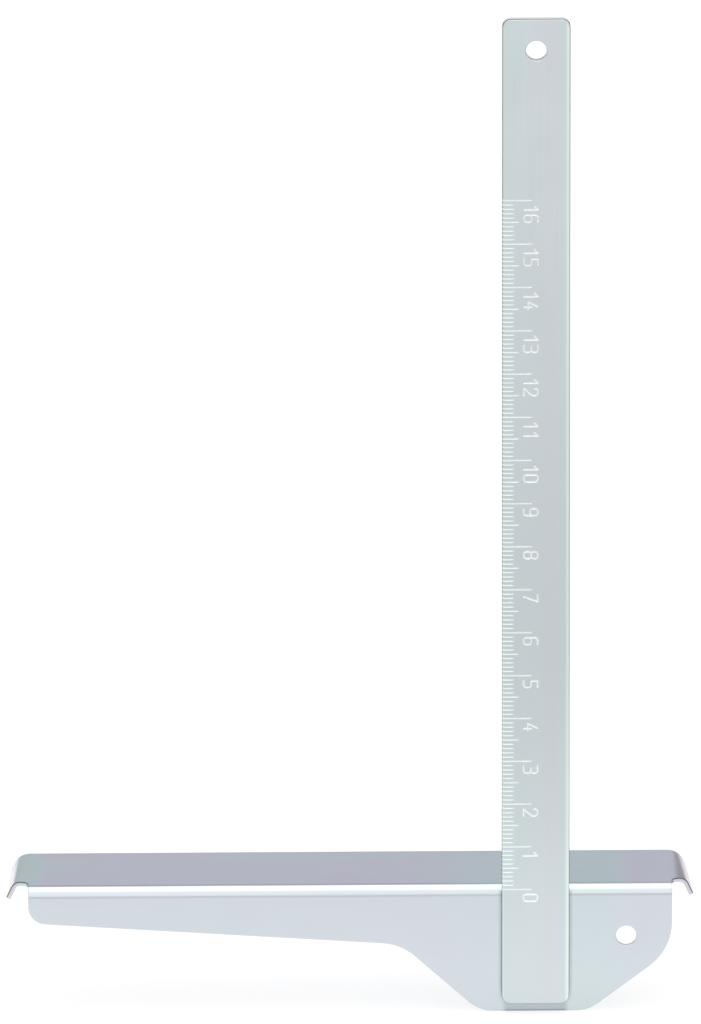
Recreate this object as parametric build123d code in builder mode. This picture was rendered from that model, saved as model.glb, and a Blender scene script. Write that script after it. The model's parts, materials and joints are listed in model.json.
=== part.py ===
from build123d import *
from math import cos, radians, sin
import os

# Marking square: a graduated steel blade welded at a right angle to a stock bent from one sheet.
#
# Frame: +Z runs up the blade, +X runs along the fence towards the heel of the stock, +Y runs back over
# the fence. The origin is the zero of the scale: the graduated edge of the blade, in the plane of the
# fence, where the blade lies on the web. All sizes are in millimetres.

# ---- blade ----
blade_width = 15.0
blade_thickness = 2.0
blade_rise = 201.5  # from the fence to the far end
blade_drop = 27.0  # from the fence down the web
blade_corner = 2.0
blade_front_round = 0.4
blade_back_round = 0.2
blade_hole_diameter = 4.5
blade_hole_inset = 7.3  # from the far end

# ---- scale on the blade ----
scale_length = 160
groove_depth = 0.2
short_mark = 2.8
half_mark = 3.9
long_mark = 6.8
numeral_width = 1.6  # between the middles of the strokes, as are the next two
numeral_height = 3.1
numeral_curve = 0.6
numeral_stroke = 0.3
numeral_depth = 0.12
numeral_pitch = 2.2
numeral_inset = 4.8  # from the graduated edge
numeral_gap = 1.2  # from its mark, towards the zero

# ---- stock ----
sheet = 1.0
bend_radius = 2.5  # outside of the bend
tail_length = 105.1  # web to the left of the blade
heel_length = 22.9  # web to the right of the blade
tail_end_depth = 8.1
tail_root_depth = 13.5
apron_depth = 29.3
apron_step = 22.4  # from the graduated edge to where the tail meets the apron
apron_left = 4.9  # from the graduated edge to the left end of the apron's bottom
apron_right = 4.3  # from the plain edge to the right end of the apron's bottom
heel_depth = 15.1
tail_corner = 4.0
apron_inner_corner = 12.0
apron_corner = 8.0
heel_corner = 13.0
stock_hole_diameter = 4.5
stock_hole_inset = 10.2  # from the heel
stock_hole_depth = 11.7  # below the fence

# ---- fence, the flange of the stock ----
fence_depth = 24.7  # from the front of the web
runner_setback = 5.0  # the curled ends start this far behind the front of the web
runner_angle = 65.0
runner_front_start = 1.9  # flat length past the end of the web, at the front
runner_front_radius = 2.0
runner_front_tip = 2.8  # straight length after the curl
runner_back_inset = 0.5  # the curl starts this far inside the end of the web, at the back
runner_back_radius = 4.0
runner_back_tip = 1.2
relief_radius = 1.5  # inside corners between the bend and the curled ends

# ---- welds ----
weld_count = 3
weld_pitch = 8.0
first_weld_depth = 7.0  # below the fence
nugget_radius = 2.0
nugget_into_blade = 0.8
nugget_into_web = 0.6
electrode_mark_radius = 2.6
electrode_mark_depth = 0.12

blade_length = blade_rise + blade_drop
web_left = -tail_length
web_right = blade_width + heel_length
web_length = web_right - web_left
blade_middle = blade_width / 2
weld_points = [(blade_middle, -first_weld_depth - i * weld_pitch) for i in range(weld_count)]


# each numeral is a few lines of a round pen, in shares of its width and height from its lower left
# corner; a line's own corners are rounded, and where two lines meet the corner is sharp
numeral_lines = {
    "0": [[(0, 0), (1, 0), (1, 1), (0, 1), (0, 0)]],
    "1": [[(0.1, 0.75), (0.6, 1)], [(0.6, 1), (0.6, 0)]],
    "2": [[(0, 0.75), (0, 1), (1, 1), (1, 0.6), (0, 0)], [(0, 0), (1, 0)]],
    "3": [[(0, 1), (1, 1), (1, 0.53), (0.3, 0.53)], [(0.3, 0.53), (1, 0.53), (1, 0), (0, 0)]],
    "4": [[(0.7, 1), (0, 0.3)], [(0, 0.3), (1, 0.3)], [(0.75, 0.6), (0.75, 0)]],
    "5": [[(0.95, 1), (0.1, 1)], [(0.1, 1), (0.1, 0.55)], [(0.1, 0.55), (1, 0.55), (1, 0), (0, 0)]],
    "6": [[(0.95, 1), (0, 1), (0, 0.3)], [(0, 0), (1, 0), (1, 0.55), (0, 0.55), (0, 0)]],
    "7": [[(0, 1), (1, 1)], [(1, 1), (0.3, 0)]],
    "8": [[(0, 0), (1, 0), (1, 0.53), (0, 0.53), (0, 0)], [(0, 0.53), (1, 0.53), (1, 1), (0, 1), (0, 0.53)]],
    "9": [[(0.05, 0), (1, 0), (1, 0.7)], [(0, 0.45), (1, 0.45), (1, 1), (0, 1), (0, 0.45)]],
}


def numeral_shape(digit):
    with BuildSketch() as shape:
        for line in numeral_lines[digit]:
            points = [(x * numeral_width, y * numeral_height) for x, y in line]
            with BuildLine():
                if len(points) == 2:
                    Line(*points)
                else:
                    FilletPolyline(*points, radius=numeral_curve)
            trace(line_width=numeral_stroke)
            if points[0] != points[-1]:
                with Locations(points[0], points[-1]):
                    Circle(numeral_stroke / 2)
    return shape.sketch


def fence_section(start, radius, tip):
    # section along the fence, from one curled tip to the other: flat to start past each end of the web,
    # then a curl, then a straight tip
    curl_reach = radius * sin(radians(runner_angle)) + tip * cos(radians(runner_angle))
    curl_drop = radius * (1 - cos(radians(runner_angle))) + tip * sin(radians(runner_angle))
    with BuildSketch() as section:
        with BuildLine():
            rise = PolarLine((web_left - start - curl_reach, -curl_drop), tip, angle=runner_angle)
            left_curl = JernArc(rise @ 1, rise % 1, radius, -runner_angle)
            flat = Line(left_curl @ 1, (web_right + start, 0))
            right_curl = JernArc(flat @ 1, flat % 1, radius, -runner_angle)
            PolarLine(right_curl @ 1, tip, angle=-runner_angle)
            offset(amount=sheet, side=Side.RIGHT)
        make_face()
    return section.sketch


def lens(radius, front_height, back_height):
    # round body with a domed front and back, on an axis along Y
    with BuildPart() as body:
        with BuildSketch():
            with BuildLine():
                TangentArc((0, back_height), (radius, 0), tangent=(1, 0))
                TangentArc((0, -front_height), (radius, 0), tangent=(1, 0))
                Line((0, -front_height), (0, back_height))
            make_face()
        revolve(axis=Axis.Y)
    return body.part


# ---- weld nuggets, across the joint between the sheets ----

with BuildPart() as spot_welds:
    with Locations(*[(x, 0, z) for x, z in weld_points]):
        add(lens(nugget_radius, nugget_into_blade, nugget_into_web))

# ---- blade ----

numeral_shapes = {digit: numeral_shape(digit) for digit in numeral_lines}

with BuildPart() as blade:
    with BuildSketch(Plane.XZ) as blade_outline:
        with Locations((blade_middle, blade_rise - blade_length / 2)):
            RectangleRounded(blade_width, blade_length, blade_corner)
        with Locations((blade_middle, blade_rise - blade_hole_inset)):
            Circle(blade_hole_diameter / 2, mode=Mode.SUBTRACT)
    extrude(amount=blade_thickness)
    front = blade.faces().sort_by(Axis.Y).first
    fillet(front.outer_wire().edges(), blade_front_round)
    back = blade.faces().sort_by(Axis.Y).last
    fillet(back.outer_wire().edges(), blade_back_round)
    add(spot_welds.part, mode=Mode.SUBTRACT)

    # marks: grooves with a right-angled V section, one row for each length of mark
    long_marks = range(0, scale_length + 1, 10)
    half_marks = range(5, scale_length, 10)
    short_marks = [mark for mark in range(scale_length) if mark % 5]
    for mark_length, marks in ((long_mark, long_marks), (half_mark, half_marks), (short_mark, short_marks)):
        with BuildSketch(Plane.YZ):
            with Locations(*[(-blade_thickness, mark) for mark in marks]):
                RegularPolygon(groove_depth, 4)
        extrude(amount=mark_length, mode=Mode.SUBTRACT)

    # numerals, which read down the blade
    with BuildSketch(Plane.XZ.offset(blade_thickness)) as numerals:
        for mark in long_marks:
            for place, digit in enumerate(str(mark // 10)):
                with Locations((numeral_inset, mark - numeral_gap - place * numeral_pitch)):
                    add(numeral_shapes[digit], rotation=-90)
    extrude(amount=-numeral_depth, mode=Mode.SUBTRACT)

# ---- stock ----

with BuildPart() as stock:
    # web, bend and the strip of the flange in front of the curled ends
    with BuildSketch(Plane.YZ.offset(web_left)) as bend_section:
        with BuildLine():
            web_line = Line((0, -apron_depth), (0, -bend_radius))
            bend = JernArc(web_line @ 1, web_line % 1, bend_radius, -90)
            Line(bend @ 1, (runner_setback, 0))
            offset(amount=sheet, side=Side.RIGHT)
        make_face()
    extrude(amount=web_length)

    # front outline of the web: tail, step down to the apron, heel
    with BuildSketch(Plane.XZ) as web_outline:
        with BuildLine():
            outline = FilletPolyline(
                (web_left, 0),
                (web_left, -tail_end_depth),
                (-apron_step, -tail_root_depth),
                (-apron_left, -apron_depth),
                (blade_width + apron_right, -apron_depth),
                (web_right, -heel_depth),
                (web_right, 0),
                radius=[tail_corner, apron_inner_corner, apron_corner, apron_corner, heel_corner],
            )
            Line(outline @ 1, outline @ 0)
        make_face()
        with Locations((web_right - stock_hole_inset, -stock_hole_depth)):
            Circle(stock_hole_diameter / 2, mode=Mode.SUBTRACT)
    extrude(amount=-runner_setback, mode=Mode.INTERSECT)

    # fence sheet with its curled ends
    front_end = fence_section(runner_front_start, runner_front_radius, runner_front_tip)
    back_end = fence_section(-runner_back_inset, runner_back_radius, runner_back_tip)
    loft([Plane.XZ.offset(-runner_setback) * front_end, Plane.XZ.offset(-fence_depth) * back_end], ruled=True)

    across_sheet = stock.edges().filter_by(Axis.Z).filter_by_position(
        Axis.Y, runner_setback, runner_setback
    )
    fillet(across_sheet, relief_radius)

    # electrode marks on the back of the web, one behind each nugget
    with Locations(*[(x, sheet, z) for x, z in weld_points]):
        add(lens(electrode_mark_radius, electrode_mark_depth, electrode_mark_depth), mode=Mode.SUBTRACT)
    add(spot_welds.part, mode=Mode.SUBTRACT)

# ---- files ----

os.makedirs("parts", exist_ok=True)
for piece, name in ((blade, "blade"), (stock, "stock"), (spot_welds, "spot_welds")):
    piece.part.label = name
    export_step(piece.part, f"parts/{name}.step")
    print(name, piece.part.bounding_box().min, piece.part.bounding_box().max)
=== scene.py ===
# Marking square in zinc-plated steel: a graduated blade spot-welded to a stock bent from one sheet

import json
import math
import bmesh
import bpy
from mathutils import Matrix, Vector


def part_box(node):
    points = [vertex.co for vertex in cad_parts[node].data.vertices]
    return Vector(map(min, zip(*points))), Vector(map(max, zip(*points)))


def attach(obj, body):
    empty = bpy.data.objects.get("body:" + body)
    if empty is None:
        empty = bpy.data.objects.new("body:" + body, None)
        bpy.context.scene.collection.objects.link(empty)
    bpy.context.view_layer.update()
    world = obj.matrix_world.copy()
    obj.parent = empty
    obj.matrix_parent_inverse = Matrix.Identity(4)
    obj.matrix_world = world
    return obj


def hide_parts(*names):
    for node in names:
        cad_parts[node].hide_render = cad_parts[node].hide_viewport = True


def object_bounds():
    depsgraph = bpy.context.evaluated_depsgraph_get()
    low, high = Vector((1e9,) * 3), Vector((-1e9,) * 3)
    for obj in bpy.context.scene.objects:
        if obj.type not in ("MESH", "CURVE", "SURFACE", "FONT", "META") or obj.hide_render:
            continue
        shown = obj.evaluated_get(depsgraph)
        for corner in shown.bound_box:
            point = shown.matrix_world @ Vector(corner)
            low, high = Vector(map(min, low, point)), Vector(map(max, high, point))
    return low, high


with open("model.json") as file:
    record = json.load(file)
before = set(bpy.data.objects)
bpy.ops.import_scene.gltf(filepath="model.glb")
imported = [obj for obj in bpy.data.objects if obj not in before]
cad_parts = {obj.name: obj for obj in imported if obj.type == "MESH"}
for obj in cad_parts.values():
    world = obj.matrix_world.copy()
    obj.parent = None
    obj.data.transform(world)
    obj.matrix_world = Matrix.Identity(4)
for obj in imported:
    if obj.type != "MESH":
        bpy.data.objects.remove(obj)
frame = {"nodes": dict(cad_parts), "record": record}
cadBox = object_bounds()  # the bounds of the imported model; the box the looks have to stay in

mm = 0.001
smoothAngle = math.radians(30)  # edges that turn by more than this stay sharp
scene = bpy.context.scene
bladeLow, bladeHigh = (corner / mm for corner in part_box("blade"))
stockLow, stockHigh = (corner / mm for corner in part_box("stock"))
holes = {mount["name"]: (Vector(mount["pos_m"]) / mm, mount["dims"]["r_mm"])
         for mount in frame["record"]["mounts"] if mount["kind"] == "bore"}
print("frame loaded:", sorted(frame["nodes"]))


# pieces are shaped in millimetres, as are the sizes of their forms, and brought to metres when they are done
def newObject(name, bm):
    mesh = bpy.data.meshes.new(name)
    bm.to_mesh(mesh)
    bm.free()
    mesh.shade_smooth()
    mesh.set_sharp_from_angle(angle=smoothAngle)
    piece = bpy.data.objects.new(name, mesh)
    scene.collection.objects.link(piece)
    return piece


def applyAll(piece):
    # turns the modifiers of a piece into plain mesh
    bpy.context.view_layer.update()
    shaped = piece.evaluated_get(bpy.context.evaluated_depsgraph_get())
    mesh = bpy.data.meshes.new_from_object(shaped)
    old = piece.data
    piece.modifiers.clear()
    piece.data = mesh
    mesh.name = old.name
    bpy.data.meshes.remove(old)
    mesh.shade_smooth()
    mesh.set_sharp_from_angle(angle=smoothAngle)


def cutAway(piece, cutter, finish):
    # the walls of the cut take the finish that is given
    cutter.data.materials.append(finish)
    cut = piece.modifiers.new("cut", "BOOLEAN")
    cut.operation = "DIFFERENCE"
    cut.solver = "EXACT"
    cut.material_mode = "TRANSFER"
    cut.object = cutter
    applyAll(piece)
    mesh = cutter.data
    bpy.data.objects.remove(cutter)
    bpy.data.meshes.remove(mesh)


def finishPiece(piece):
    piece.data.transform(Matrix.Scale(mm, 4))
    # flat faces keep their own normal and only the rounded edges blend
    weighted = piece.modifiers.new("evenNormals", "WEIGHTED_NORMAL")
    weighted.mode = "FACE_AREA"
    weighted.weight = 60
    weighted.keep_sharp = True


def arcPoints(centre, radius, startAngle, endAngle, steps):
    # points on an arc in a plane, angles in degrees, both ends included
    turns = [math.radians(startAngle + (endAngle - startAngle) * i / steps) for i in range(steps + 1)]
    return [(centre[0] + radius * math.cos(t), centre[1] + radius * math.sin(t)) for t in turns]


def circlePoints(radius, sides):
    # points on a full circle round the origin
    return arcPoints((0, 0), radius, 0, 360 - 360 / sides, sides - 1)


def roundedCorner(before, corner, after, radius, steps):
    # an arc tangent to both legs of a corner
    corner = Vector(corner)
    legIn = (Vector(before) - corner).normalized()
    legOut = (Vector(after) - corner).normalized()
    half = legIn.angle(legOut) / 2
    centre = corner + (legIn + legOut).normalized() * (radius / math.sin(half))
    first = (corner + legIn * (radius / math.tan(half)) - centre).normalized()
    last = (corner + legOut * (radius / math.tan(half)) - centre).normalized()
    return [tuple(centre + first.slerp(last, i / steps) * radius) for i in range(steps + 1)]


def sweep(bm, rings, loop=False, caps=True):
    # skins a row of rings that all have the same number of points
    loops = [[bm.verts.new(p) for p in ring] for ring in rings]
    count = len(loops[0])
    for one, two in zip(loops, loops[1:] + loops[:1] if loop else loops[1:]):
        for i in range(count):
            j = (i + 1) % count
            bm.faces.new((one[i], one[j], two[j], two[i]))
    if caps and not loop:
        bm.faces.new(loops[0][::-1])
        bm.faces.new(loops[-1])
    return loops


# interference colours of the passivated zinc, in the order in which they follow as the film thickens
filmHues = [
    (0.20, (0.90, 1.00, 0.87)),
    (0.36, (0.86, 1.00, 0.97)),
    (0.50, (0.94, 0.98, 1.00)),
    (0.62, (0.99, 0.91, 1.00)),
    (0.74, (1.00, 0.86, 0.95)),
    (0.88, (1.00, 0.98, 0.86)),
]

# plating of both plates; the scales are counts per metre
plating = {
    "cloud": 0.03,  # how far the tone darkens in its clouds
    "cloudScale": 65,  # clouds about 15 mm across
    "bandScale": 70,
    "roughness": 0.20, "roughnessSpread": 0.05,
    "roughFrom": (0.7, 1.3),  # range of the pattern that the roughness follows
    "grain": 0.05, "grainScale": 4200, "grainDepth": 0.00004,
    "rollMarks": 0.035, "rollScale": 1500, "rollDepth": 0.00006,
    "aroundBend": (0.001, 0.003),  # the tint of the upright sheet gives way to the fence's here, along Y
}
bladePlate = {
    "tone": (0.660, 0.712, 0.724),
    # film thickness across the sheet, along X
    "film": ((0.0, 0.34), (0.003, 0.44), (0.008, 0.53), (0.0115, 0.60), (0.0135, 0.40), (0.015, 0.24)),
    "wander": 0.45,  # how far the film strays from that
    "tint": (0.34, 0.34),  # how far its colours show, on the upright sheet and on the fence
    "bands": (1, 1, 0.10),  # the patches and the roll marks are drawn out along the strip
    "lines": (1, 1, 0.02),
    # painted highlight along the rolled edges, across X
    "edgeHighlightTone": (0.86, 0.93, 0.92),
    "edgeHighlight": ((0.0, 0.45), (0.0006, 0.0), (0.0138, 0.0), (0.0146, 0.70), (0.015, 0.70)),
}
stockPlate = {
    "tone": (0.648, 0.700, 0.732),
    "film": ((-0.110, 0.90), (-0.106, 0.24), (-0.101, 0.58), (-0.02, 0.60), (0.0, 0.44), (0.022, 0.36),
             (0.031, 0.66), (0.036, 0.60), (0.041, 0.74)),
    "wander": 0.40,
    "tint": (0.24, 0.80),
    "bands": (0.35, 1, 1),
    "lines": (0.02, 1, 1),
    # painted shade in the crevice round the foot of the blade: beside it, under it and at the rim of the web
    "footShadeTone": (0.20, 0.245, 0.29),
    "footShadeSide": 0.50, "footShadeBelow": 0.36, "footShadeRim": 0.95,
    "footShadeReach": 0.0010,  # beside the blade it ends this far out
    "footShadeFall": 0.4,  # at this share of that reach, this share of it is left
    "rimFrom": 0.75,  # the rim's share starts this far down from the blade's foot to the edge of the web
    "besideUntil": (-0.004, 0.0012),  # beside the blade it fades out here, counted down from the foot
    "underUntil": (-0.0014, 0.0002),  # under the blade it fades out here, counted out from its side
    "footShadeDepth": 0.0004,  # it stays this close to the front of the web
    # painted dark reflection line at the back of the bend, across Y
    "bendReflectionTone": (0.20, 0.22, 0.22),
    "bendReflection": ((0.0018, 0.0), (0.0021, 0.26), (0.0025, 0.26), (0.0029, 0.0)),
    "bendReflectionDepth": 0.0005,  # it stays this close to the top of the fence
    # painted violet shade on the curl by the heel, across X
    "curlShadeTone": (0.37, 0.33, 0.36),
    "curlShadeFrom": 0.0052,  # behind the front rim
    "curlShade": ((0.0382, 0.0), (0.0398, 0.95), (0.0410, 0.92), (0.0426, 0.40)),
}

fleckedMetal = {"scale": 2600, "roughnessSpread": 0.06, "bump": 0.25, "bumpDepth": 0.00004}
stampedZinc = {"tone": (0.865, 0.915, 0.915), "roughness": 0.42, "fleck": 0.06}
numeralZinc = {"tone": (0.92, 0.955, 0.955), "roughness": 0.42, "fleck": 0.05}
# near-black edge metal: darker sheared metal with a painted shade line
edgeShadeZinc = {"tone": (0.105, 0.118, 0.12), "roughness": 0.36, "fleck": 0.25}
sideZinc = {"tone": (0.43, 0.46, 0.47), "roughness": 0.34, "fleck": 0.16}
# bright metal for the far end of the blade: a painted highlight from the overhead light
topHighlightZinc = {"tone": (0.85, 0.88, 0.88), "roughness": 0.60, "fleck": 0.06}
weldSteel = {"tone": (0.42, 0.41, 0.40), "roughness": 0.45, "fleck": 0.2}


def nodeMaker(tree):
    # a short way to add a node: sockets by name or number, other settings by name
    tree.nodes.clear()

    def make(kind, inputs=None, **settings):
        node = tree.nodes.new(kind)
        for key, value in settings.items():
            setattr(node, key, value)
        for key, value in (inputs or {}).items():
            if isinstance(value, bpy.types.NodeSocket):
                tree.links.new(value, node.inputs[key])
            else:
                node.inputs[key].default_value = value
        return node

    return make


def rampStops(node, stops):
    ramp = node.color_ramp
    while len(ramp.elements) > 1:
        ramp.elements.remove(ramp.elements[-1])
    for i, (place, colour) in enumerate(stops):
        stop = ramp.elements[0] if i == 0 else ramp.elements.new(place)
        stop.position = place
        stop.color = (*colour, 1)


def newMaterial(name):
    material = bpy.data.materials.new(name)
    material.use_nodes = True
    return material, nodeMaker(material.node_tree)


def mathNode(make, operation, first, second=0.0):
    return make("ShaderNodeMath", {0: first, 1: second}, operation=operation).outputs["Value"]


def mixColours(make, factor, first, second, blend="MIX"):
    # a colour is either a socket or three numbers
    node = make("ShaderNodeMix", {"Factor": factor}, data_type="RGBA", blend_type=blend)
    for socket, value in (("A", first), ("B", second)):
        target = [i for i in node.inputs if i.name == socket and i.type == "RGBA"][0]
        if isinstance(value, bpy.types.NodeSocket):
            node.id_data.links.new(value, target)
        else:
            target.default_value = (*value, 1)
    return [o for o in node.outputs if o.type == "RGBA"][0]


def valueRamp(make, value, stops):
    # a value that eases from stop to stop
    low, high = stops[0][0], stops[-1][0]
    along = make("ShaderNodeMapRange", {"Value": value, "From Min": low, "From Max": high})
    ramp = make("ShaderNodeValToRGB", {"Fac": along.outputs["Result"]})
    rampStops(ramp, [((place - low) / (high - low), (v, v, v)) for place, v in stops])
    ramp.color_ramp.interpolation = "EASE"
    return ramp.outputs["Color"]


def footShadeMask(make, split, look):
    # painted shade round the foot of the blade: 0 away from it, and the strengths given round it
    middle, half = (bladeLow.x + bladeHigh.x) / 2 * mm, (bladeHigh.x - bladeLow.x) / 2 * mm
    aside = mathNode(make, "ABSOLUTE", mathNode(make, "SUBTRACT", split.outputs["X"], middle))
    beside = mathNode(make, "SUBTRACT", aside, half)
    below = mathNode(make, "SUBTRACT", bladeLow.z * mm, split.outputs["Z"])
    drop = (bladeLow.z - stockLow.z) * mm
    reach, strength, fall = look["footShadeReach"], look["footShadeSide"], look["footShadeFall"]
    side = valueRamp(make, beside, ((0.0, strength), (reach * fall, strength * fall), (reach, 0.0)))
    foot = valueRamp(make, below, (
        (0.0, look["footShadeBelow"]), (drop * look["rimFrom"], look["footShadeBelow"]),
        (drop, look["footShadeRim"])))
    isBelow = mathNode(make, "GREATER_THAN", below, 0.0)
    fadeFrom, fadeTo = look["besideUntil"]
    isBeside = valueRamp(make, below, ((fadeFrom, 1.0), (fadeTo, 0.0)))
    fadeFrom, fadeTo = look["underUntil"]
    underFoot = valueRamp(make, beside, ((fadeFrom, 1.0), (fadeTo, 0.0)))
    sideShare = mathNode(make, "MULTIPLY", side, isBeside)
    footShare = mathNode(make, "MULTIPLY", mathNode(make, "MULTIPLY", foot, isBelow), underFoot)
    onWeb = mathNode(make, "LESS_THAN", split.outputs["Y"], look["footShadeDepth"])
    return mathNode(make, "MULTIPLY", mathNode(make, "ADD", sideShare, footShare), onWeb)


def makeZinc(name, look):
    material, make = newMaterial(name)
    place = make("ShaderNodeTexCoord").outputs["Object"]
    split = make("ShaderNodeSeparateXYZ", {"Vector": place})

    clouds = make("ShaderNodeTexNoise", {
        "Vector": place, "Scale": plating["cloudScale"], "Detail": 4, "Roughness": 0.5})
    darker = tuple(channel * (1 - plating["cloud"]) for channel in look["tone"])
    clouded = mixColours(make, clouds.outputs["Fac"], look["tone"], darker)

    # film thickness: set across the sheet, and straying from there in long bands
    stretched = make("ShaderNodeMapping", {"Vector": place, "Scale": look["bands"]})
    bands = make("ShaderNodeTexNoise", {
        "Vector": stretched.outputs["Vector"], "Scale": plating["bandScale"], "Detail": 2,
        "Distortion": 0.4})
    offMiddle = mathNode(make, "SUBTRACT", bands.outputs["Fac"], 0.5)
    stray = mathNode(make, "MULTIPLY", offMiddle, look["wander"])
    film = mathNode(make, "ADD", valueRamp(make, split.outputs["X"], look["film"]), stray)
    hues = make("ShaderNodeValToRGB", {"Fac": film})
    rampStops(hues, filmHues)
    onSheet, onFence = look["tint"]
    sheetUntil, fenceFrom = plating["aroundBend"]
    shows = make("ShaderNodeMapRange", {
        "Value": split.outputs["Y"], "From Min": sheetUntil, "From Max": fenceFrom,
        "To Min": onSheet, "To Max": onFence})
    tinted = mixColours(make, shows.outputs["Result"], clouded, hues.outputs["Color"], "MULTIPLY")
    if "edgeHighlightTone" in look:
        # painted highlight along the rolled edges of the blade
        edgeHighlit = valueRamp(make, split.outputs["X"], look["edgeHighlight"])
        tinted = mixColours(make, edgeHighlit, tinted, look["edgeHighlightTone"])
    if "footShadeTone" in look:
        # painted shade round the foot of the blade, beside it, under it and at the web's rim
        tinted = mixColours(make, footShadeMask(make, split, look), tinted, look["footShadeTone"])
    if "curlShadeTone" in look:
        # painted violet shade on the curl by the heel
        behindRim = mathNode(make, "GREATER_THAN", split.outputs["Y"], look["curlShadeFrom"])
        curlShadeRamp = valueRamp(make, split.outputs["X"], look["curlShade"])
        curlShade = mathNode(make, "MULTIPLY", curlShadeRamp, behindRim)
        tinted = mixColours(make, curlShade, tinted, look["curlShadeTone"])
    if "bendReflectionTone" in look:
        # painted dark reflection line on the fence just behind the bend
        onTop = mathNode(make, "GREATER_THAN", split.outputs["Z"], -look["bendReflectionDepth"])
        uneven = mathNode(make, "MULTIPLY", mathNode(make, "ADD", bands.outputs["Fac"], 0.5), onTop)
        bendReflection = mathNode(make, "MULTIPLY", valueRamp(make, split.outputs["Y"], look["bendReflection"]), uneven)
        tinted = mixColours(make, bendReflection, tinted, look["bendReflectionTone"])

    # fine grain of the plating, and faint marks of the rolls along the strip
    grain = make("ShaderNodeTexNoise", {
        "Vector": place, "Scale": plating["grainScale"], "Detail": 3, "Roughness": 0.6})
    drawn = make("ShaderNodeMapping", {"Vector": place, "Scale": look["lines"]})
    rollMarks = make("ShaderNodeTexNoise", {
        "Vector": drawn.outputs["Vector"], "Scale": plating["rollScale"], "Detail": 3})

    pattern = mathNode(make, "ADD", clouds.outputs["Fac"], rollMarks.outputs["Fac"])
    patternLow, patternHigh = plating["roughFrom"]
    rough = make("ShaderNodeMapRange", {
        "Value": pattern, "From Min": patternLow, "From Max": patternHigh,
        "To Min": plating["roughness"] - plating["roughnessSpread"],
        "To Max": plating["roughness"] + plating["roughnessSpread"]})

    grainBump = make("ShaderNodeBump", {
        "Height": grain.outputs["Fac"], "Strength": plating["grain"], "Distance": plating["grainDepth"]})
    rollBump = make("ShaderNodeBump", {
        "Height": rollMarks.outputs["Fac"], "Strength": plating["rollMarks"],
        "Distance": plating["rollDepth"], "Normal": grainBump.outputs["Normal"]})

    shader = make("ShaderNodeBsdfPrincipled", {
        "Base Color": tinted, "Metallic": 1.0,
        "Roughness": rough.outputs["Result"], "Normal": rollBump.outputs["Normal"]})
    make("ShaderNodeOutputMaterial", {"Surface": shader.outputs["BSDF"]})
    return material


def makeFlecked(name, look):
    # coarser metal with a fine fleck: stamped marks and numerals, edges and sides, weld nuggets
    material, make = newMaterial(name)
    place = make("ShaderNodeTexCoord").outputs["Object"]
    fleck = make("ShaderNodeTexNoise", {
        "Vector": place, "Scale": fleckedMetal["scale"], "Detail": 4, "Roughness": 0.65})
    dull = tuple(channel * (1 - look["fleck"]) for channel in look["tone"])
    tone = mixColours(make, fleck.outputs["Fac"], look["tone"], dull)
    rough = make("ShaderNodeMapRange", {
        "Value": fleck.outputs["Fac"],
        "To Min": look["roughness"] - fleckedMetal["roughnessSpread"],
        "To Max": look["roughness"] + fleckedMetal["roughnessSpread"]})
    bump = make("ShaderNodeBump", {
        "Height": fleck.outputs["Fac"], "Strength": fleckedMetal["bump"],
        "Distance": fleckedMetal["bumpDepth"]})
    shader = make("ShaderNodeBsdfPrincipled", {
        "Base Color": tone, "Metallic": 1.0, "Roughness": rough.outputs["Result"],
        "Normal": bump.outputs["Normal"]})
    make("ShaderNodeOutputMaterial", {"Surface": shader.outputs["BSDF"]})
    return material


bladeZinc = makeZinc("bladeZinc", bladePlate)
stockZinc = makeZinc("stockZinc", stockPlate)
stampedMetal = makeFlecked("stampedZinc", stampedZinc)
numeralMetal = makeFlecked("numeralZinc", numeralZinc)
edgeShadeMetal = makeFlecked("edgeShadeZinc", edgeShadeZinc)
sideMetal = makeFlecked("sideZinc", sideZinc)
topHighlightMetal = makeFlecked("topHighlightZinc", topHighlightZinc)
weldMetal = makeFlecked("weldSteel", weldSteel)
bladeFinishes = [bladeZinc, edgeShadeMetal, stampedMetal, numeralMetal, sideMetal, topHighlightMetal]
stockFinishes = [stockZinc, edgeShadeMetal]
print("finishes ready")


bladeForm = {
    "corner": 2.0,
    "frontRoll": 0.4,  # rolled edges of the strip
    "backRoll": 0.2,
    "rollSteps": 6,
    "cornerSteps": 8,
    "band": 10,  # the faces are split this often along the blade
    "holeLip": 0.25,
    "holeSides": 48,
    "lipSteps": 4,
    "edgeFrom": 0.78,  # the dark line of the front edge, darker sheared metal with a painted shade line, starts where the roll has turned this far
    "sideFrom": 0.05,  # and the plain side of the strip where it has turned this far
    "topFrom": 0.5,  # the far end of the strip, with its painted highlight, is where the side has turned this far up
}

markForm = {
    "last": 160,
    "short": 2.8, "half": 3.9, "long": 6.8,
    "depth": 0.13,
    "halfWidth": 0.21,
    "floor": 0.05,  # half the width of the flat bottom
    "runOut": 0.7,  # length over which the inner end comes up to the surface
    "downEdge": 1.0,  # how far the marks run back along the side of the strip
    "lastStop": (0.75, 0.8),  # at this share of that length, this share of the depth is left
    "rollSteps": 5,
    "clear": 0.03,  # both ends of the cutter stand clear of the surface
    "endWidth": 0.5, "endFloor": 0.4,  # shares left at the ends
}

numeralForm = {
    "width": 1.6, "height": 3.1,
    "curve": 0.6,
    "curveSteps": 5,
    "depth": 0.11,
    "halfWidth": 0.24,
    "floor": 0.10,  # half the width of the flat bottom
    "clear": 0.03,  # the cutter's ends stand clear of the surface
    "tip": 0.9,  # a pen line runs on past its ends by this share of the half width
    "tipWidth": 0.6,
    "finer": 0.06,  # each line of a numeral is this much finer than the one before
    "pitch": 2.2,
    "inset": 4.8,  # from the graduated edge
    "gap": 1.2,  # from its mark, towards the zero
}

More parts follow.
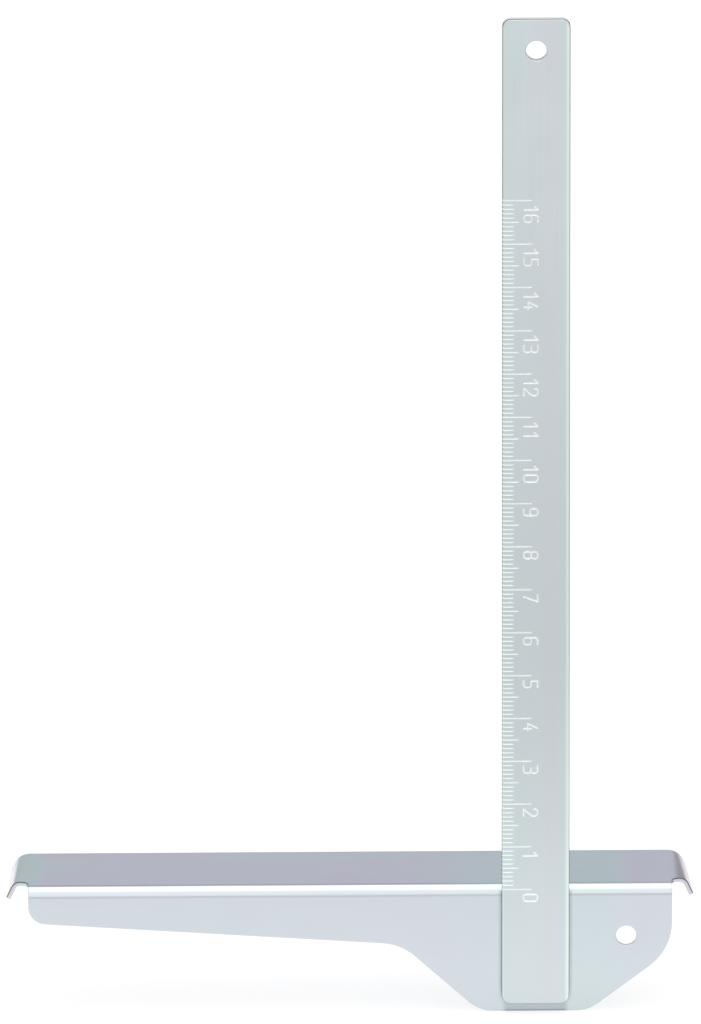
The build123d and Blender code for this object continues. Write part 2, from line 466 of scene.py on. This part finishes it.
# pen lines of each numeral, in shares of its width and height from its lower left corner
numeralLines = {
    "0": [[(0, 0), (1, 0), (1, 1), (0, 1), (0, 0)]],
    "1": [[(0.1, 0.75), (0.6, 1)], [(0.6, 1), (0.6, 0)]],
    "2": [[(0, 0.75), (0, 1), (1, 1), (1, 0.6), (0, 0)], [(0, 0), (1, 0)]],
    "3": [[(0, 1), (1, 1), (1, 0.53), (0.3, 0.53)], [(0.3, 0.53), (1, 0.53), (1, 0), (0, 0)]],
    "4": [[(0.7, 1), (0, 0.3)], [(0, 0.3), (1, 0.3)], [(0.75, 0.6), (0.75, 0)]],
    "5": [[(0.95, 1), (0.1, 1)], [(0.1, 1), (0.1, 0.55)], [(0.1, 0.55), (1, 0.55), (1, 0), (0, 0)]],
    "6": [[(0.95, 1), (0, 1), (0, 0.3)], [(0, 0), (1, 0), (1, 0.55), (0, 0.55), (0, 0)]],
    "7": [[(0, 1), (1, 1)], [(1, 1), (0.3, 0)]],
    "8": [[(0, 0), (1, 0), (1, 0.53), (0, 0.53), (0, 0)], [(0, 0.53), (1, 0.53), (1, 1), (0, 1), (0, 0.53)]],
    "9": [[(0.05, 0), (1, 0), (1, 0.7)], [(0, 0.45), (1, 0.45), (1, 1), (0, 1), (0, 0.45)]],
}


def bladeOutline(inset):
    # the blade's outline pulled in by inset, counted from its lower left corner, as (x, z) in millimetres
    low, high = bladeLow, bladeHigh
    radius = bladeForm["corner"]
    steps = bladeForm["cornerSteps"]
    left, right = low.x + radius, high.x - radius
    bottom, top = low.z + radius, high.z - radius
    bands = int((top - bottom) / bladeForm["band"])
    sides = [bottom + (top - bottom) * i / bands for i in range(1, bands)]
    points = arcPoints((left, bottom), radius - inset, 180, 270, steps)
    points += arcPoints((right, bottom), radius - inset, 270, 360, steps)
    points += [(high.x - inset, z) for z in sides]
    points += arcPoints((right, top), radius - inset, 0, 90, steps)
    points += arcPoints((left, top), radius - inset, 90, 180, steps)
    points += [(low.x + inset, z) for z in reversed(sides)]
    return points, len(sides)


def closeFace(bm, ring, bands):
    # fills one flat face of the blade with a cap at each end and plain quads between
    steps = bladeForm["cornerSteps"] + 1
    right = list(range(2 * steps - 1, 2 * steps + bands + 1))  # up the right side
    left = [0] + list(range(len(ring) - 1, len(ring) - bands - 1, -1)) + [len(ring) - bands - 1]
    bm.faces.new([ring[i] for i in range(0, 2 * steps)])
    for i in range(bands + 1):
        bm.faces.new((ring[left[i]], ring[right[i]], ring[right[i + 1]], ring[left[i + 1]]))
    bm.faces.new([ring[i] for i in range(right[-1], len(ring) - bands)])


def bladeBlank():
    bm = bmesh.new()
    front, back = bladeLow.y, bladeHigh.y
    steps = bladeForm["rollSteps"]
    rings = []
    for roll, face, inward in ((bladeForm["frontRoll"], front, 1), (bladeForm["backRoll"], back, -1)):
        turns = [math.radians(90 * i / steps) for i in range(steps + 1)]
        if inward < 0:
            turns.reverse()
        for turn in turns:
            points, bands = bladeOutline(roll * (1 - math.sin(turn)))
            depth = face + inward * roll * (1 - math.cos(turn))
            rings.append([(x, depth, z) for x, z in points])
    loops = sweep(bm, rings, caps=False)
    closeFace(bm, loops[0], bands)
    closeFace(bm, loops[-1], bands)
    bmesh.ops.recalc_face_normals(bm, faces=bm.faces)
    for face in bm.faces:
        if abs(face.normal.y) < bladeForm["sideFrom"]:
            # the upward face at the far end gets the painted highlight metal, the plain sides their own grey
            side = topHighlightMetal if face.normal.z > bladeForm["topFrom"] else sideMetal
            face.material_index = bladeFinishes.index(side)
        elif -bladeForm["edgeFrom"] < face.normal.y < 0:
            # outer part of the front roll: the dark edge metal with its painted shade line
            face.material_index = bladeFinishes.index(edgeShadeMetal)
    blank = newObject("markedBlade", bm)
    for finish in bladeFinishes:
        blank.data.materials.append(finish)
    return blank


def holeCutter(hole, front, back):
    # a pin that flares at both faces, so that the hole gets rounded lips
    centre, radius = hole
    lip, steps, past = bladeForm["holeLip"], bladeForm["lipSteps"], 0.5
    turns = [math.radians(90 * i / steps) for i in range(steps + 1)]
    profile = [(radius + lip, front - past)]
    profile += [(radius + lip * (1 - math.sin(t)), front + lip * (1 - math.cos(t))) for t in turns]
    profile += [(radius + lip * (1 - math.cos(t)), back - lip * (1 - math.sin(t))) for t in turns]
    profile += [(radius + lip, back + past)]
    rings = []
    for reach, depth in profile:
        circle = circlePoints(reach, bladeForm["holeSides"])
        rings.append([(centre.x + x, depth, centre.z + z) for x, z in circle])
    bm = bmesh.new()
    sweep(bm, rings)
    bmesh.ops.recalc_face_normals(bm, faces=bm.faces)
    return newObject("holeCutter", bm)


def grooveRing(point, outward, across, depth, halfWidth, floor):
    # section of a groove: a flat bottom, slopes that clear the surface, and straight sides above
    clear, above = 0.04, 0.2
    section = [(-depth, -floor), (-depth, floor), (clear, halfWidth), (above, halfWidth),
               (above, -halfWidth), (clear, -halfWidth)]
    point, outward, across = Vector(point), Vector(outward), Vector(across)
    return [point + outward * out + across * aside for out, aside in section]


def addMark(bm, height, length):
    # a groove from the inner end of the mark to the rolled edge, round the roll and out of the side;
    # each stop has its place, the way out of the metal there, and its share of the full depth
    form = markForm
    front, left, roll = bladeLow.y, bladeLow.x, bladeForm["frontRoll"]
    route = [(length, front, 0, -1, 0), (length - form["runOut"], front, 0, -1, 1)]
    for i in range(form["rollSteps"] + 1):
        turn = math.radians(90 * i / form["rollSteps"])
        route.append((left + roll - roll * math.sin(turn), front + roll - roll * math.cos(turn),
                      -math.sin(turn), -math.cos(turn), 1))
    part, leftShare = form["lastStop"]
    route.append((left, front + form["downEdge"] * part, -1, 0, leftShare))
    route.append((left, front + form["downEdge"], -1, 0, 0))
    rings = []
    for x, y, outX, outY, share in route:
        depth = form["depth"] * share - form["clear"] * (1 - share)
        halfWidth = form["halfWidth"] * (form["endWidth"] + (1 - form["endWidth"]) * share)
        floor = form["floor"] * (form["endFloor"] + (1 - form["endFloor"]) * share)
        rings.append(grooveRing((x, y, height), (outX, outY, 0), (0, 0, 1), depth, halfWidth, floor))
    sweep(bm, rings)


def penRoute(points):
    # a pen line with its own corners rounded, in millimetres
    form = numeralForm
    points = [(x * form["width"], y * form["height"]) for x, y in points]
    closed = points[0] == points[-1]
    if closed:
        points = points[:-1]
    count = len(points)
    route = []
    for i, corner in enumerate(points):
        if not closed and i in (0, count - 1):
            route.append(corner)
        else:
            after = points[(i + 1) % count]
            route += roundedCorner(points[i - 1], corner, after, form["curve"], form["curveSteps"])
    return route, closed


def addPenLine(bm, line, place, share):
    # the groove of one pen line, turned a quarter so that the numeral reads down the blade
    form = numeralForm
    route, closed = penRoute(line)
    route = [Vector((place[0] + y, place[1] - x)) for x, y in route]
    count = len(route)
    tip = form["halfWidth"] * form["tip"]
    rings = []

    def addRing(point, along, depth, narrow):
        spot, across = (point.x, bladeLow.y, point.y), (-along.y, 0, along.x)
        halfWidth = form["halfWidth"] * narrow * share
        rings.append(grooveRing(spot, (0, -1, 0), across, depth, halfWidth, form["floor"] * narrow))

    for i, here in enumerate(route):
        before = route[i - 1] if closed or i else here
        after = route[(i + 1) % count] if closed or i < count - 1 else here
        along = (after - before).normalized()
        if not closed and i == 0:
            addRing(here - along * tip, along, -form["clear"], form["tipWidth"])
        addRing(here, along, form["depth"] * share, 1)
        if not closed and i == count - 1:
            addRing(here + along * tip, along, -form["clear"], form["tipWidth"])
    sweep(bm, rings, closed)


def stampScale(blade):
    bm = bmesh.new()
    form = markForm
    for mark in range(form["last"] + 1):
        length = form["long"] if mark % 10 == 0 else form["half"] if mark % 5 == 0 else form["short"]
        addMark(bm, mark, length)
    bmesh.ops.recalc_face_normals(bm, faces=bm.faces)
    cutAway(blade, newObject("markCutter", bm), stampedMetal)

    # numerals one pen line at a time, each a touch finer, so that no two walls coincide
    form = numeralForm
    for turn in range(max(len(lines) for lines in numeralLines.values())):
        bm = bmesh.new()
        for mark in range(0, markForm["last"] + 1, 10):
            for place, digit in enumerate(str(mark // 10)):
                lines = numeralLines[digit]
                if turn < len(lines):
                    spot = (form["inset"], mark - form["gap"] - place * form["pitch"])
                    addPenLine(bm, lines[turn], spot, 1 - form["finer"] * turn)
        bmesh.ops.recalc_face_normals(bm, faces=bm.faces)
        cutAway(blade, newObject("numeralCutter", bm), numeralMetal)


def makeBlade():
    blade = bladeBlank()
    cutAway(blade, holeCutter(holes["blade_hanging_hole"], bladeLow.y, bladeHigh.y), bladeZinc)
    stampScale(blade)
    finishPiece(blade)
    return blade


stockForm = {
    "sheet": 1.0,
    "bend": 2.5,  # outside radius
    "bendSteps": 14,
    "tailEnd": 8.1,  # depths of the web below the fence
    "tailRoot": 13.5,
    "step": 22.4,  # from the graduated edge to where the tail meets the apron
    "apronLeft": 4.9, "apronRight": 4.3,  # from the edges of the blade to the ends of the apron's bottom
    "heel": 15.1,  # depth where the heel turns down to the apron
    "corners": (4.0, 12.0, 8.0, 8.0, 13.0),  # from the tail round to the heel
    "cornerSteps": 10,
    "holeSides": 48,
    "setback": 5.0,  # the curled ends start this far behind the web
    "relief": 1.5,  # radius of the inside corners before the curls
    "reliefSteps": 5,
    "curl": 65,  # in degrees
    "curlSteps": 12,
    "tipSteps": 2,
    # at the front and at the back: flat length past the end of the web, radius of the curl, straight tip
    "frontStart": 1.9, "frontRadius": 2.0, "frontTip": 2.8,
    "backStart": -0.5, "backRadius": 4.0, "backTip": 1.2,
    "column": 9,  # the sheet is split this often along the fence
    "rows": 5,
    "edgeRound": 0.2, "edgeSteps": 3,
    "edgeAngle": 40,  # edges that turn by more than this are rounded, in degrees
    # faces of the curls that count as their sheared front rim: bounds on how far they face forwards and up
    "rimForwards": (0.2, 0.97), "rimUp": 0.1,
    # dents of the welding electrode, from the middle out: depth and radius
    "dent": ((0.12, 0.15), (0.11, 0.9), (0.07, 1.7), (0.0, 2.6), (-0.4, 2.8)),
    "dentSides": 36,
    "welds": 3,
    "tailLength": 105.1, "heelLength": 22.9,  # of the web, to the left and right of the blade
}


def webEnds():
    return -stockForm["tailLength"], bladeHigh.x + stockForm["heelLength"]


def fenceLine(start, radius, tip, columns):
    # one line across the fence from tip to tip, as (x, z)
    form = stockForm
    curl = math.radians(form["curl"])
    end = []
    for i in range(1, form["curlSteps"] + 1):
        turn = curl * i / form["curlSteps"]
        end.append((radius * math.sin(turn), -radius * (1 - math.cos(turn))))
    rootX, rootZ = end[-1]
    for i in range(1, form["tipSteps"] + 1):
        out = tip * i / form["tipSteps"]
        end.append((rootX + out * math.cos(curl), rootZ - out * math.sin(curl)))
    left, right = webEnds()
    left -= start
    right += start
    flat = [(left + (right - left) * share, 0) for share in columns]
    return [(left - x, z) for x, z in reversed(end)] + flat + [(right + x, z) for x, z in end]


def webOutline():
    # the free edge of the web from the fence's tail end round to its heel end, as (x, z)
    form = stockForm
    left, right = webEnds()
    bottom = stockLow.z
    corners = [
        (left, -form["bend"]),
        (left, -form["tailEnd"]),
        (-form["step"], -form["tailRoot"]),
        (-form["apronLeft"], bottom),
        (bladeHigh.x + form["apronRight"], bottom),
        (right, -form["heel"]),
        (right, -form["bend"]),
    ]
    points = [corners[0]]
    for i, radius in enumerate(form["corners"], 1):
        points += roundedCorner(corners[i - 1], corners[i], corners[i + 1], radius, form["cornerSteps"])
    points.append(corners[-1])
    return points


def sheetBlank():
    # the outer skin of the stock: web, bend, flat strip and fence with its curled ends
    form = stockForm
    left, right = webEnds()
    hole, holeRadius = holes["stock_hanging_hole"]
    count = round((right - left) / form["column"])
    across = sorted([left + (right - left) * i / count for i in range(count + 1)] + [hole.x])

    bm = bmesh.new()
    known = {}

    def corner(x, y, z):
        key = (round(x, 4), round(y, 4), round(z, 4))
        if key not in known:
            known[key] = bm.verts.new((x, y, z))
        return known[key]

    def panel(points, facing):
        face = bm.faces.new([corner(*p) for p in points])
        face.normal_update()
        if face.normal.dot(Vector(facing)) < 0:
            face.normal_flip()

    # the web is two panels that meet on an upright line through the hanging hole
    outline = webOutline()
    for i in range(len(outline) - 1):
        (x1, z1), (x2, z2) = outline[i], outline[i + 1]
        if x1 < hole.x < x2:
            crossing = (hole.x, z1 + (z2 - z1) * (hole.x - x1) / (x2 - x1))
            split = i + 1
    top = -form["bend"]
    halfSides = form["holeSides"] // 2
    leftHalf = arcPoints((hole.x, hole.z), holeRadius, 90, 270, halfSides)
    rightHalf = arcPoints((hole.x, hole.z), holeRadius, -90, 90, halfSides)
    leftPanel = outline[:split] + [crossing] + leftHalf[::-1]
    leftPanel += [(x, top) for x in reversed(across) if left < x <= hole.x]
    rightPanel = [crossing] + outline[split:]
    rightPanel += [(x, top) for x in reversed(across) if hole.x <= x < right] + rightHalf[::-1]
    panel([(x, 0, z) for x, z in leftPanel], (0, -1, 0))
    panel([(x, 0, z) for x, z in rightPanel], (0, -1, 0))

    # bend
    bend = [(form["bend"] - form["bend"] * math.cos(t), -form["bend"] + form["bend"] * math.sin(t))
            for t in (math.radians(90 * i / form["bendSteps"]) for i in range(form["bendSteps"] + 1))]
    for (y1, z1), (y2, z2) in zip(bend, bend[1:]):
        for x1, x2 in zip(across, across[1:]):
            panel([(x1, y1, z1), (x2, y1, z1), (x2, y2, z2), (x1, y2, z2)], (0, -1, 1))

    # flat strip between the bend and the curled ends, with round inside corners
    relief, setback = form["relief"], form["setback"]
    steps = form["reliefSteps"]
    rightRound = arcPoints((right + relief, setback - relief), relief, 180, 90, steps)
    leftRound = arcPoints((left - relief, setback - relief), relief, 90, 0, steps)
    strip = [(x, form["bend"]) for x in across] + rightRound
    strip += [(x, setback) for x in reversed(across)] + leftRound
    panel([(x, y, 0) for x, y in strip], (0, 0, 1))

    # fence and curled ends, ruled from their front line to their back line
    flatLeft, flatRight = left - form["frontStart"], right + form["frontStart"]
    stations = [flatLeft, left - relief] + across + [right + relief, flatRight]
    columns = [(x - flatLeft) / (flatRight - flatLeft) for x in stations]
    front = fenceLine(form["frontStart"], form["frontRadius"], form["frontTip"], columns)
    back = fenceLine(form["backStart"], form["backRadius"], form["backTip"], columns)
    lines = []
    for row in range(form["rows"] + 1):
        share = row / form["rows"]
        y = setback + (stockHigh.y - setback) * share
        lines.append([(x1 + (x2 - x1) * share, y, z1 + (z2 - z1) * share)
                      for (x1, z1), (x2, z2) in zip(front, back)])
    for one, two in zip(lines, lines[1:]):
        for i in range(len(one) - 1):
            panel([one[i], one[i + 1], two[i + 1], two[i]], (0, 0, 1))
    return newObject("bentStock", bm)


def dimpleCutter():
    # round dents that the welding electrode left on the back of the web, one behind each nugget
    form = stockForm
    low, high = (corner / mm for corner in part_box("spot_welds"))
    nugget = (high.x - low.x) / 2
    first, last = high.z - nugget, low.z + nugget
    middle = (low.x + high.x) / 2
    bm = bmesh.new()
    for i in range(form["welds"]):
        height = first + (last - first) * i / (form["welds"] - 1)
        rings = []
        for depth, reach in form["dent"]:
            rings.append([(middle + x, form["sheet"] - depth, height + z)
                          for x, z in circlePoints(reach, form["dentSides"])])
        sweep(bm, rings)
    bmesh.ops.recalc_face_normals(bm, faces=bm.faces)
    return newObject("dimpleCutter", bm)


def darkenCurlRims(stock):
    # sheared outer rim at the front of the two curled ends, given the dark edge metal: darker sheared metal
    # with a painted shade line
    form = stockForm
    least, most = form["rimForwards"]
    left, right = webEnds()
    for face in stock.data.polygons:
        x, y = face.center.xy
        onCurl = (x < left or x > right) and y < form["setback"] + form["edgeRound"]
        if onCurl and least < -face.normal.y < most and face.normal.z > form["rimUp"]:
            face.material_index = stockFinishes.index(edgeShadeMetal)


def makeStock():
    stock = sheetBlank()
    for finish in stockFinishes:
        stock.data.materials.append(finish)
    skin = stock.modifiers.new("skin", "SOLIDIFY")
    skin.thickness = stockForm["sheet"]
    skin.offset = -1
    skin.use_even_offset = True
    skin.use_quality_normals = True
    applyAll(stock)
    cutAway(stock, dimpleCutter(), stockZinc)
    edge = stock.modifiers.new("edge", "BEVEL")
    edge.width = stockForm["edgeRound"]
    edge.segments = stockForm["edgeSteps"]
    edge.limit_method = "ANGLE"
    edge.use_clamp_overlap = False
    edge.angle_limit = math.radians(stockForm["edgeAngle"])
    applyAll(stock)
    darkenCurlRims(stock)
    finishPiece(stock)
    return stock


blade = makeBlade()
print("blade:", len(blade.data.polygons), "faces")
stock = makeStock()
print("stock:", len(stock.data.polygons), "faces")

welds = frame["nodes"]["spot_welds"]
welds.data.materials.clear()
welds.data.materials.append(weldMetal)

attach(blade, "root")
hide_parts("blade")
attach(stock, "root")
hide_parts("stock")


studio = {
    "floorRadius": 14.0, "floorSides": 72,
    "floorTone": (0.24, 0.24, 0.241),
    "floorCloud": 0.04, "floorCloudScale": 3,
    # glow of the light table along Y, from well in front of the square to well behind it
    "glow": ((-0.8, 0.68), (-0.61, 0.68), (-0.52, 0.63), (-0.44, 0.585), (-0.32, 0.555), (-0.24, 0.54),
             (-0.145, 0.645), (-0.07, 0.74), (-0.01, 0.78), (0.05, 0.80), (0.2, 0.86)),
    "glowFade": (0.95, 2.6, 0.80),  # it fades between these distances, to this share
    "glowSides": (0.082, 0.30, 0.74),  # and between these distances to the left and right of the square
    "lampHeight": 1.6, "lampSize": 1.8, "lampPower": 4.0, "lampBack": 0.2,
    # brightness of the room by height, in front of the square and behind it
    "roomFront": ((0.0, 0.74), (0.07, 0.78), (0.15, 0.92), (0.34, 1.20), (0.8, 1.26), (0.9, 1.36),
                  (1.0, 1.38)),
    "roomBack": ((0.0, 0.50), (0.20, 0.58), (0.36, 0.64), (0.5, 0.60), (0.66, 0.60), (0.76, 0.78),
                 (0.88, 1.14), (0.97, 1.34), (1.0, 1.36)),
    "roomBackTint": (1.07, 1.08, 1.14),
    "roomTurn": 0.25,  # the front gives way to the back this near to straight aside
}


def makeFloor():
    bm = bmesh.new()
    ring = [bm.verts.new((x, y, cadBox[0][2]))
            for x, y in circlePoints(studio["floorRadius"], studio["floorSides"])]
    bm.faces.new(ring)
    floor = newObject("paleFloor", bm)
    material, make = newMaterial("paleFloor")
    place = make("ShaderNodeTexCoord").outputs["Object"]
    clouds = make("ShaderNodeTexNoise", {"Vector": place, "Scale": studio["floorCloudScale"], "Detail": 2})
    paler = tuple(channel * (1 + studio["floorCloud"]) for channel in studio["floorTone"])
    tone = mixColours(make, clouds.outputs["Fac"], studio["floorTone"], paler)

    split = make("ShaderNodeSeparateXYZ", {"Vector": place})
    glowing = valueRamp(make, split.outputs["Y"], studio["glow"])
    reach = make("ShaderNodeVectorMath", {0: place}, operation="LENGTH").outputs["Value"]
    middle = (cadBox[0][0] + cadBox[1][0]) / 2
    aside = mathNode(make, "ABSOLUTE", mathNode(make, "SUBTRACT", split.outputs["X"], middle))
    for distance, key in ((reach, "glowFade"), (aside, "glowSides")):
        near, far, share = studio[key]
        fade = make("ShaderNodeMapRange", {
            "Value": distance, "From Min": near, "From Max": far, "To Min": 1.0, "To Max": share},
            interpolation_type="SMOOTHSTEP")
        glowing = mathNode(make, "MULTIPLY", glowing, fade.outputs["Result"])

    shader = make("ShaderNodeBsdfPrincipled", {
        "Base Color": tone, "Roughness": 0.9, "Specular IOR Level": 0.1,
        "Emission Color": (1, 1, 1, 1), "Emission Strength": glowing})
    make("ShaderNodeOutputMaterial", {"Surface": shader.outputs["BSDF"]})
    floor.data.materials.append(material)


def makeRoom():
    # pale room: bright overhead, dimmer low down, and a mid violet grey low behind the square
    world = bpy.data.worlds.new("room")
    scene.world = world
    world.use_nodes = True
    make = nodeMaker(world.node_tree)
    direction = make("ShaderNodeTexCoord").outputs["Generated"]
    split = make("ShaderNodeSeparateXYZ", {"Vector": direction})
    walls = []
    for key, tint in (("roomFront", (1, 1, 1)), ("roomBack", studio["roomBackTint"])):
        ramp = make("ShaderNodeValToRGB", {"Fac": split.outputs["Z"]})
        stops = [(height, tuple(glow * channel for channel in tint)) for height, glow in studio[key]]
        rampStops(ramp, stops)
        walls.append(ramp.outputs["Color"])
    side = make("ShaderNodeMapRange", {
        "Value": split.outputs["Y"], "From Min": -studio["roomTurn"], "From Max": studio["roomTurn"]})
    colour = mixColours(make, side.outputs["Result"], *walls)
    background = make("ShaderNodeBackground", {"Color": colour})
    make("ShaderNodeOutputWorld", {"Surface": background.outputs["Background"]})


def makeLamp():
    light = bpy.data.lights.new("softbox", "AREA")
    light.shape = "DISK"
    light.size = studio["lampSize"]
    light.energy = studio["lampPower"]
    lamp = bpy.data.objects.new("softbox", light)
    lamp.location = (0, studio["lampBack"], studio["lampHeight"])
    scene.collection.objects.link(lamp)


cameraForm = {
    "elevation": 18.021, "azimuth": -0.794, "roll": -0.098,  # in degrees; azimuth 0 looks along +Y
    "distance": 4.88,
    "target": (-0.0334, 0, 0.0876),
    "lens": 518.2, "sensor": 24,
    "farthest": 60,
}


def makeCamera():
    form = cameraForm
    camera = bpy.data.cameras.new("camera")
    camera.sensor_fit = "VERTICAL"
    camera.sensor_height = form["sensor"]
    camera.lens = form["lens"]
    camera.clip_end = form["farthest"]
    view = bpy.data.objects.new("camera", camera)
    elevation, azimuth = math.radians(form["elevation"]), math.radians(form["azimuth"])
    away = Vector((math.sin(azimuth) * math.cos(elevation), -math.cos(azimuth) * math.cos(elevation),
                   math.sin(elevation)))
    view.rotation_euler = away.to_track_quat("Z", "Y").to_euler()
    view.rotation_euler.rotate_axis("Z", math.radians(form["roll"]))
    view.location = Vector(form["target"]) + away * form["distance"]
    scene.collection.objects.link(view)
    scene.camera = view


makeFloor()
makeRoom()
makeLamp()
makeCamera()
scene.view_settings.view_transform = "Standard"
print("studio done")
